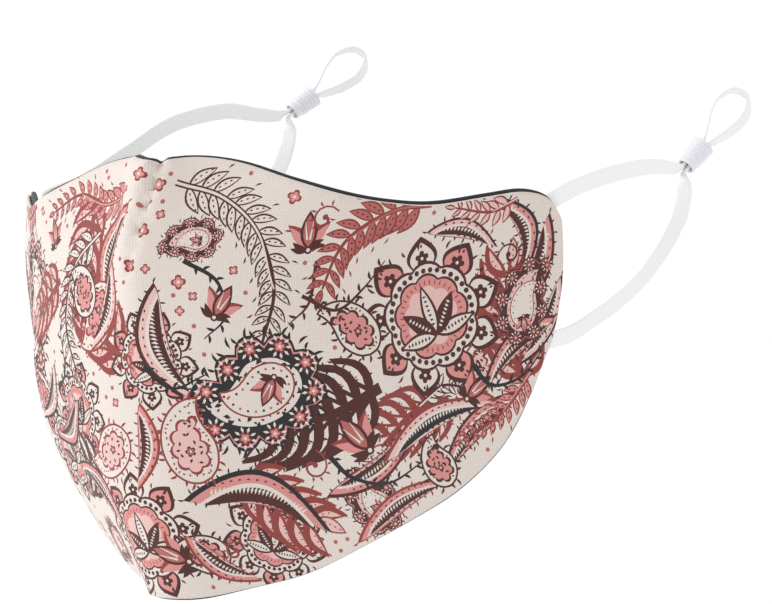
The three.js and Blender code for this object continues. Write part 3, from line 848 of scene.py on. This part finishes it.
def lotus(place, radius, angle, pods=5):
    """A round lotus: seed pods in a scalloped heart, a ring of beads, and seeded petals round it."""
    place = np.asarray(place, float)
    circle = round_points(56) * radius
    for k in range(9):
        turn = angle + 40 * k
        for name, size in (("maroon", 1.0), (("ground", "salmon")[k % 2], 0.8)):
            petal = leaf_shape(radius * 0.72, radius * 0.66, 0, 11) * size
            ink(name, placed(petal + (radius * (0.8 + 0.13 * (1 - size)), 0), place, turn))
        flower(spot_at(place, turn, radius * 1.1), radius * 0.15, turn, 5, "maroon", "maroon", "ground")
        for lean in (-7, 0, 7):
            seed("black", spot_at(place, turn + lean, radius * 1.29), turn, radius * 0.09)
    barbs("maroon", circle * 1.28 + place, 27, radius * 0.2, radius * 0.05)
    rim = (("maroon", 0.94, 0.1), ("ground", 0.89, 0.09))
    heart = (("maroon", 0.72, 0.09), ("salmon", 0.68, 0.08), ("blush", 0.5, 0.07))
    for name, reach, depth in rim + heart:
        ink(name, scalloped(circle * reach + place, 9, radius * depth))
    for turn in angle + 10 * np.arange(36):
        dot("maroon", spot_at(place, turn, radius * 0.86), radius * 0.055, 6)
        seed("brick", spot_at(place, turn, radius * 0.57), turn, radius * 0.13, radius * 0.03)
    foot = spot_at(place, angle, 0, -radius * 0.38)
    for k in range(pods):
        lean = angle + 90 + (k - (pods - 1) / 2) * 42
        long = radius * (1.0 if k == pods // 2 else 0.86)
        blade("maroon", foot, lean, long, radius * 0.32, 0, 11)
        blade(("ground", "maroon")[k % 2], foot, lean, long * 0.84, radius * 0.21, 0, 9, long * 0.08)
        for share in np.arange(0.22, 0.82, 0.09):
            spot = spot_at(foot, lean, long * share, -radius * 0.04)
            seed(("maroon", "ground")[k % 2], spot, lean + 80, radius * 0.09, radius * 0.05)


def stations(line, first, gap, short=0.0):
    """Stops at even gaps along a line: their number, place, bearing and share of the run."""
    run, travel = run_along(line), np.gradient(line, axis=0)
    for k, at in enumerate(np.arange(first, run[-1] - short, gap)):
        i = int(np.searchsorted(run, at))
        yield k, line[i], bearing(travel[i]), at / run[-1]


def spray(route, leaf_length, leaf_width, edge="brick", fill="salmon", vein="maroon", gap=4.2, stem=0.9):
    """A stem through the points with a leaf on each side at every gap, smaller towards its tip."""
    lean = 48
    line = through(route, np.linspace(0, 1, 80))
    for k, spot, heading, share in stations(line, gap, gap):
        size = 1 - 0.45 * share
        for side in (-1, 1):
            way = heading + side * lean
            leaf(spot, way, leaf_length * size, leaf_width * size, edge, fill, vein, side * 0.06)
            if k % 2:
                seed(edge, spot_at(spot, way + side * 6, leaf_length * size), way, 2.4, 0.6)
    stroke(edge, route, stem * 1.6, (1, 0.4))
    stroke(fill, route[:-1], stem * 0.7, (1, 0.5))
    leaf(line[-1], bearing(line[-1] - line[-2]), leaf_length * 0.6, leaf_width * 0.6, edge, fill, vein)


def feather(place, angle, length, width, bend, edge="black", fill="salmon", core="maroon"):
    """A long curved leaf: a thorny outline, a coloured border with stitches, and a barred dark core."""
    layers = ((edge, 1.0, 1.0), (fill, 0.92, 0.84), ("ground", 0.8, 0.56), (core, 0.74, 0.42))
    for name, size, share in layers:
        blade(name, place, angle, length * size, width * share, bend, 20, length * (1 - size) / 2)
    for k in range(int(length / 1.7)):
        share = 0.17 + 0.66 * k / (length / 1.7)
        bow = math.sin(math.pi * share)
        spot = spot_at(place, angle, share * length, bend * length * 0.86 * bow)
        lean = angle + math.degrees(math.atan(bend * math.pi * math.cos(math.pi * share)))
        seed("ground", spot_at(spot, lean, 0, -width * 0.1), lean + 70, width * 0.24, 0.75)
        for side in (-1, 1) if k % 2 else ():
            seed(core, spot_at(spot, lean, 0, side * width * 0.32 * bow), lean, 1.2, 0.6)
    border = placed(leaf_shape(length * 0.96, width * 0.98, bend, 26), place, angle)
    barbs(edge, border, int(length / 1.5), 2.0, 0.6)


def fern(place, angle, length, width, bend, fill="maroon", pod="ground"):
    """A broad dark frond of pointed lobes that overlap, each with a seeded pod in it."""
    lobes = max(4, int(length / 5))
    for side in (-1, 1):
        for k in range(lobes):
            share = 0.06 + 0.84 * k / lobes
            spot = spot_at(place, angle, share * length, bend * length * math.sin(math.pi * share))
            lean = angle + side * (52 - 26 * share)
            long = width * (0.42 + 0.34 * math.sin(math.pi * (0.15 + 0.8 * share)))
            blade(fill, spot, lean, long, width * 0.24, side * 0.1, 9)
            barbs(fill, placed(leaf_shape(long, width * 0.24, side * 0.1, 9), spot, lean), 7, 1.8, 0.6)
            blade(pod, spot, lean, long * 0.62, width * 0.1, side * 0.1, 6, long * 0.22)
            for at in (0.42, 0.56, 0.7):
                seed(fill, spot_at(spot, lean + side * 6, long * at), lean + 60, 0.9, 0.5)
    leaf(spot_at(place, angle, length * 0.84), angle, width * 0.5, width * 0.22, fill, pod, fill)
    stem = [(0, 0), (length * 0.45, bend * length), (length * 0.92, bend * length * 0.25)]
    stroke(fill, placed(stem, place, angle), width * 0.13, (1, 0.4))


def vine(route, width, name="black", thorn=2.6):
    """A dark stem with thorns in pairs."""
    stroke(name, route, width, (1, 0.25))
    for k, spot, heading, _ in stations(through(route, np.linspace(0, 1, 60)), 1.2, 2.3, 0.5):
        blade(name, spot, heading + (1, -1)[k % 2] * 52, thorn, thorn * 0.34, 0.1, 5)


def tendril(place, angle, size, flip=1, name="brick"):
    """A curling shoot with a bead at its end and thorns on its back."""
    turns = np.linspace(0, 2.2 * np.pi, 12)
    reach = 1 - 0.86 * (turns / turns[-1]) ** 0.8
    curl = np.stack([np.cos(turns) * reach - 1, np.sin(turns) * reach], axis=1)
    route = placed(curl, place, angle, size, flip)
    stroke(name, route, 0.9, (0.5, 1))
    dot(name, route[-1], 0.9, 6)
    for spot in route[1:6]:
        seed(name, spot, bearing(spot - route.mean(axis=0)) + 20, 2.0, 0.7)


# The layout, in millimetres along the cloth from the centre line (the wearer's left is plus) and up
# from the nose bridge. It is a free arrangement in the manner of traditional paisley prints.
WINE, DUSK, PALE = ("maroon", "salmon"), ("maroon", "blush"), ("maroon", "ground")
CLAY, DAWN, NIGHT = ("brick", "salmon"), ("brick", "blush"), ("black", "blush")
LAYOUT = [
    (fern, (-2, -60), 128, 34, 22, 0.12, *DAWN),
    (fern, (-26, -12), -102, 34, 20, 0.1, *DAWN),
    (fern, (120, -66), 100, 40, 20, 0.1, *DAWN),
    (lotus, (-30, -74), 10.5, 30),
    (lotus, (-5, -109), 12.5, 12),
    (feather, (0, -70), -98, 26, 7, 0.14, *CLAY),
    (open_paisley, (-58, -70), 30, 22, 13, 90, 1, *WINE),
    (fern, (-92, -66), 60, 30, 18, 0.1, *DAWN),
    (lotus, (35, -110), 10.5, -20),
    (lotus, (4, -58), 9.5, 30),
    (fern, (94, -70), -150, 30, 20, -0.1, "brick", "ground"),
    (paisley, (68, -101), 74, 22, 13.5, -95, 1, *DUSK, 8),
    (open_paisley, (14, -114), 60, 20, 12, 90, 1, *WINE),
    (feather, (60, -112), 30, 38, 6.5, 0.08, *CLAY),
    (feather, (118, -68), 222, 38, 7.5, -0.08, *WINE),
    (open_paisley, (90, -90), 60, 18, 11, -90, 1, *WINE),
    (tulip, (8, -116), 70, 0.8),
    (feather, (84, -22), -10, 24, 6, 0.14, *DUSK),
    (vine, [(52, -30), (50, -42), (44, -48)], 1.2, "maroon"),
    (vine, [(14, -30), (24, -36), (26, -46), (20, -52)], 1.3),
    (tulip, (49, -27), 6, 0.75),
    (tulip, (23, -46), -30, 0.7),
    (open_paisley, (104, -62), 30, 17, 11, -90, 1),
    (spray, [(84, -72), (92, -66), (104, -68)], 5.2, 2.4, *PALE, None, 3.0, 0.8),
    (fern, (70, -66), -166, 40, 26, 0.1, *PALE),
    (fern, (28, -92), -30, 28, 20, -0.1, *DAWN),
    (feather, (6, -36), -74, 36, 9.5, -0.16, *DUSK),
    (feather, (10, -98), -14, 44, 10, 0.2, "black", "salmon"),
    (feather, (52, -98), 38, 40, 7.5, -0.1, *WINE),
    (feather, (70, -88), 24, 44, 7, 0.1, *DAWN, "black"),
    (feather, (124, -16), -112, 34, 8, 0.16, *WINE),
    (feather, (132, -34), -118, 30, 6.5, 0.1, *NIGHT),
    (feather, (106, -12), -60, 26, 7, 0.2, "black", "salmon"),
    (feather, (131, -46), -140, 34, 7, -0.1, *WINE),
    (feather, (-4, -14), -110, 30, 9, -0.16, *CLAY),
    (open_paisley, (-16, -44), 10, 24, 15, 95, -1, *CLAY),
    (feather, (8, -108), -34, 26, 6.5, -0.12, *CLAY),
    (spray, [(8, -8), (22, -12), (34, -22), (40, -38), (36, -54)], 9.5, 3.4, *PALE, "maroon", 3.7, 1.2),
    (spray, [(84, -14), (72, -16), (60, -24), (54, -38)], 10.5, 3.8, "brick", "rose", "maroon", 3.6, 1.1),
    (spray, [(122, -62), (112, -74), (98, -82)], 6.4, 2.8, *CLAY, "maroon", 3.3, 0.9),
    (spray, [(112, -12), (104, -16), (92, -15)], 6.2, 2.8, *DAWN, None, 3.2, 0.8),
    (paisley, (37, -66), 148, 40, 26, -100, 1, "black", "ground", 11),
    (lotus, (88, -46), 15.5, 24),
    (paisley, (118, -44), 196, 26, 15, 90, -1, *DUSK, 9, "rose"),
    (open_paisley, (14, -84), 40, 27, 16, -95, 1),
    (open_paisley, (64, -50), 20, 22, 13, 90, 1, *WINE),
    (paisley, (17, -24), 70, 17, 10.5, 80, 1, *DUSK, 8),
    (tulip, (66, -84), 44, 0.9),
    (tulip, (100, -70), -50, 0.7),
    (vine, [(54, -86), (60, -92), (72, -94), (84, -88)], 1.6),
    (vine, [(48, -40), (58, -44), (66, -38), (72, -30)], 1.2, "maroon"),
    (vine, [(102, -60), (108, -66), (118, -64), (126, -56)], 1.5),
    (vine, [(2, -60), (10, -66), (20, -62)], 1.4, "black"),
    (tendril, (56, -16), 30, 4.5),
    (tendril, (108, -30), 200, 4.5, -1, "maroon"),
    (tendril, (50, -84), 80, 5, -1),
    (tendril, (26, -112), 20, 4),
    (spray, [(-6, -10), (-20, -14), (-34, -11), (-48, -16)], 7.5, 3.0, *CLAY, "maroon", 3.5, 1.0),
    (spray, [(-20, -22), (-32, -32), (-34, -48), (-28, -62)], 8.5, 3.2, *PALE, "maroon", 3.8, 1.1),
    (spray, [(-62, -14), (-78, -18), (-94, -15)], 6.5, 2.8, "brick", "rose", "maroon", 3.4, 0.9),
    (fern, (-22, -92), 160, 34, 22, 0.1, *PALE),
    (paisley, (-66, -48), -14, 44, 28, 95, 1, *PALE, 12),
    (paisley, (-110, -36), 14, 30, 18, -95, -1, "black", "ground", 10),
    (open_paisley, (-12, -84), -30, 24, 14, 90, -1),
    (lotus, (-48, -86), 10.5, 20),
    (feather, (-28, -70), 204, 30, 8, 0.14),
    (feather, (-14, -106), 150, 34, 8, -0.12, *WINE),
    (feather, (-60, -100), 142, 34, 6.5, 0.08, "black", "rose"),
    (feather, (-92, -60), 100, 26, 7, 0.12, *CLAY),
    (feather, (-10, -30), 250, 28, 7, 0.14, *DAWN),
    (tulip, (-92, -72), 30, 0.8),
    (tulip, (-46, -26), 20, 0.6),
    (open_paisley, (-88, -32), 20, 18, 11, 90, 1),
    (vine, [(-44, -68), (-36, -62), (-38, -50)], 1.3),
    (vine, [(-84, -66), (-76, -72), (-66, -72)], 1.3, "maroon"),
    (tendril, (-6, -54), 120, 4.5),
    (lotus, (-100, -58), 8.5, 10),
    (fern, (-40, -36), 200, 26, 18, 0.1, *DAWN),
    (open_paisley, (-24, -40), 10, 20, 12, 90, 1, *WINE),
    (feather, (-44, -60), 220, 26, 6.5, 0.14, *NIGHT),
    (feather, (-70, -78), 160, 24, 6, -0.14, *WINE),
    (paisley, (-34, -112), 80, 20, 12, 90, 1, *DUSK, 8),
    (open_paisley, (-124, -30), 0, 22, 13, -90, 1),
]
for motif, *how in LAYOUT:
    motif(*how)

# What is left between them is strewn with four-petalled flowers and beads.
edge = cloth_outline(LINING_SHOWS, 1.0)
strewn = random.Random(7)
low, high = edge.min(axis=0), edge.max(axis=0)
marks = np.concatenate([outline for _, outline in printed] + [edge])
solid_marks = [outline for _, outline in printed if np.ptp(outline, axis=0).min() > 4]
AROUND = np.array([(1, 0), (0, 1), (-1, 0), (0, -1), (0.7, 0.7), (-0.7, 0.7)])
# what is strewn: its kind, radius, clearance and number of tries
STREWN = [("flower", 2.2, 4.0, 2600), ("flower", 1.5, 3.0, 1500), ("bead", 0.7, 1.7, 1200)]


def boxed(outline, least, most):
    """Whether the outline's box holds another box."""
    return np.all(outline.min(0) < least) and np.all(outline.max(0) > most)


for kind, radius, clearance, tries in STREWN:
    for _ in range(tries):
        spot = np.array((strewn.uniform(low[0], high[0]), strewn.uniform(low[1], high[1])))
        turn = strewn.uniform(0, 90)
        if np.min(np.hypot(*(marks - spot).T)) < clearance:
            continue
        if any(boxed(o, spot, spot) and inside(o, spot[None])[0] for o in solid_marks):
            continue
        if kind == "flower":
            flower(spot, radius, turn, 4)
        else:
            dot("rose", spot, radius, 7)
        marks = np.concatenate([marks, spot + radius * AROUND])

# An outline off the cloth, or wholly under a later one, is left out: it would only cost triangles.
OFF_CLOTH, WIDE_ENOUGH = 1, 1.6
low, high = low - OFF_CLOTH, high + OFF_CLOTH
printed = [(name, o) for name, o in printed if np.all(o.max(0) > low) and np.all(o.min(0) < high)]
least, most = (np.array([pick(outline, axis=0) for _, outline in printed]) for pick in (np.min, np.max))
wide = (most - least).min(axis=1) > WIDE_ENOUGH
kept = []
for k, (name, outline) in enumerate(printed):
    over = wide & np.all(least < least[k], axis=1) & np.all(most > most[k], axis=1)
    over[: k + 1] = False
    if not any(np.all(inside(printed[j][1], outline)) for j in np.flatnonzero(over)):
        kept.append((name, outline))

net, triangles, middles = flat_net([edge] + [outline for _, outline in kept], lattice(edge, 2.5, 1.0))
on_cloth = inside(edge, middles)
triangles, middles = triangles[on_cloth], middles[on_cloth]
used, triangles = np.unique(triangles, return_inverse=True)
net, triangles = net[used], triangles.reshape(-1, 3)
names = list(INKS)
colour_of = np.zeros(len(triangles), int)
in_order = np.argsort(middles[:, 0])
across = middles[in_order, 0]
for name, outline in kept:
    near = in_order[slice(*np.searchsorted(across, (outline[:, 0].min(), outline[:, 0].max())))]
    near = near[(middles[near, 1] > outline[:, 1].min()) & (middles[near, 1] < outline[:, 1].max())]
    if len(near):
        colour_of[near[inside(outline, middles[near])]] = names.index(name)
print("print: outlines", len(kept), "triangles", len(triangles))

cover = cloth_piece("printed_cloth", net, triangles, 0, COVER_WALL, 0.3)
paint = cover.data.color_attributes.new(name="print", type="FLOAT_COLOR", domain="CORNER")
inks = np.array([linear(code) for code in INKS.values()])
values = np.tile(inks[0], (len(cover.data.loops), 1))
values[: 3 * len(triangles)] = np.repeat(inks[colour_of], 3, axis=0)
paint.data.foreach_set("color", values.astype(np.float32).ravel())

# Polyester knit with a heat-transfer print: the stitches, drawn coarser than the real ones so that
# they show, give the cloth a dry, faintly downy surface, and darken the ink a little in their pattern as
# painted shade.
knit, tree, shader = finish_named(
    "printed_polyester_knit", {"Roughness": 0.86, "Sheen Weight": 0.12, "Sheen Roughness": 0.5}
)
knit_relief_and_shade = stitches(
    tree, {"Scale": 0.45, "Distortion": 0.7, "Detail": 1.0}, {"Scale": 0.52, "Distortion": 0.7, "Detail": 1.0}
)
inked = node(tree, "ShaderNodeVertexColor", {"layer_name": "print"}).outputs["Color"]
# the stitch pattern darkens the ink by multiplying it with a pale grey: painted shade of the stitches
surfaced(tree, shader, knit_relief_and_shade, (inked, "#EDEAE8"), 0.35, 0.2 * MM, "MULTIPLY")
cover.data.materials.append(knit)
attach(cover, "root")
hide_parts("printed_cover")
